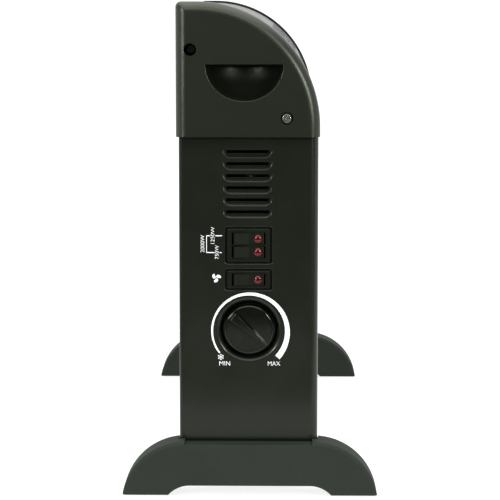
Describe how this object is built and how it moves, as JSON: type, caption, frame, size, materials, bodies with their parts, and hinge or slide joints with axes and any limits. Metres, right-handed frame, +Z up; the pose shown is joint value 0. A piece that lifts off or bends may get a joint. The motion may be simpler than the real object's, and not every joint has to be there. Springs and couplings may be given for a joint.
{
  "type": "fan convector heater",
  "caption": "Portable electric convector heater with a booster fan: flat steel body with a rounded slotted top, end caps with hand scoops, rocker switches, thermostat dial and arched feet.",
  "frame": {"origin": "on the floor, under the middle of the body, at the bottom centre of the bounding box", "axes": "+X along the heater away from the control end, -Y out of the front, +Z up"},
  "size_m": [0.53, 0.2, 0.385],
  "materials": {
    "painted_steel": "satin black powder coat",
    "cap_plastic": "finely textured black moulding",
    "foot_plastic": "finely textured charcoal moulding",
    "pad_rubber": "soft rubber",
    "zinc_screws": "bright zinc plate",
    "black_screws": "blackened steel",
    "galvanised_steel": "bare galvanised sheet",
    "switch_plastic": "fine satin black nylon",
    "lens_red": "clear red lens",
    "knob_plastic": "polished black",
    "shaft_steel": "turned steel",
    "terminal_brass": "stamped brass",
    "ceramic": "unglazed steatite",
    "mica": "pressed mica board",
    "coil_wire": "oxidised resistance wire",
    "cutout_metal": "pressed can",
    "laminated_steel": "stacked laminations",
    "coil_winding": "taped copper winding",
    "bearing_metal": "die cast",
    "fan_plastic": "moulded black",
    "inner_plastic": "moulded nylon",
    "live_insulation": "brown sleeving",
    "neutral_insulation": "blue sleeving",
    "earth_insulation": "green and yellow sleeving"
  },
  "bodies": {
    "root": {"front_panel": "painted_steel", "rear_panel": "painted_steel", "base_plate": "galvanised_steel", "control_end_panel": "painted_steel", "plain_end_panel": "painted_steel", "control_end_cap": "cap_plastic", "plain_end_cap": "cap_plastic", "control_end_foot": "foot_plastic", "plain_end_foot": "foot_plastic", "foot_pads": "pad_rubber", "foot_screws": "zinc_screws", "rear_panel_screws": "zinc_screws", "cap_brackets": "galvanised_steel", "cap_screws_lower": "zinc_screws", "cap_screws_upper": "black_screws", "double_switch_housing": "switch_plastic", "single_switch_housing": "switch_plastic", "switch_terminals": "terminal_brass", "thermostat_body": "galvanised_steel", "thermostat_stack": "ceramic", "thermostat_terminals": "terminal_brass", "thermostat_nut": "galvanised_steel", "control_bulkhead": "painted_steel", "plain_bulkhead": "painted_steel", "element_rails": "galvanised_steel", "mica_boards": "mica", "heating_coils_750w": "coil_wire", "heating_coils_1250w": "coil_wire", "element_terminals": "shaft_steel", "terminal_bushes": "ceramic", "heat_baffle": "galvanised_steel", "cutout_bracket": "galvanised_steel", "thermal_cutout": "cutout_metal", "fan_stator": "laminated_steel", "fan_coil": "coil_winding", "fan_bearings": "bearing_metal", "fan_bracket": "galvanised_steel", "fan_shroud": "fan_plastic", "fan_screws": "zinc_screws", "cord_gland": "inner_plastic", "gland_nut": "inner_plastic", "cord_clamp": "inner_plastic", "cord_clamp_screws": "zinc_screws", "terminal_block": "inner_plastic", "terminal_screws": "terminal_brass", "live_wires": "live_insulation", "neutral_wires": "neutral_insulation", "earth_wire": "earth_insulation"},
    "rocker_1250w": {"rocker_1250w": "switch_plastic", "lens_1250w": "lens_red"},
    "rocker_750w": {"rocker_750w": "switch_plastic", "lens_750w": "lens_red"},
    "rocker_fan": {"rocker_fan": "switch_plastic", "lens_fan": "lens_red"},
    "dial": {"thermostat_knob": "knob_plastic", "thermostat_shaft": "shaft_steel"},
    "fan_rotor": {"impeller": "fan_plastic", "fan_shaft": "shaft_steel", "fan_rotor_core": "laminated_steel"}
  },
  "joints": [
    {"name": "rocker_1250w_press", "type": "hinge", "parent": "root", "child": "rocker_1250w", "pos_m": [-0.2475, 0.001, 0.2016], "axis": [0, 0, -1], "range_deg": [0, 14]},
    {"name": "rocker_750w_press", "type": "hinge", "parent": "root", "child": "rocker_750w", "pos_m": [-0.2475, 0.001, 0.1911], "axis": [0, 0, -1], "range_deg": [0, 14]},
    {"name": "rocker_fan_press", "type": "hinge", "parent": "root", "child": "rocker_fan", "pos_m": [-0.2475, 0.001, 0.1694], "axis": [0, 0, -1], "range_deg": [0, 14]},
    {"name": "dial_turn", "type": "hinge", "parent": "root", "child": "dial", "pos_m": [-0.245, 0.0007, 0.1298], "axis": [-1, 0, 0], "range_deg": [0, 260]},
    {"name": "fan_spin", "type": "hinge", "parent": "root", "child": "fan_rotor", "pos_m": [0, 0.008, 0.128], "axis": [0, 1, 0], "continuous": true}
  ]
}
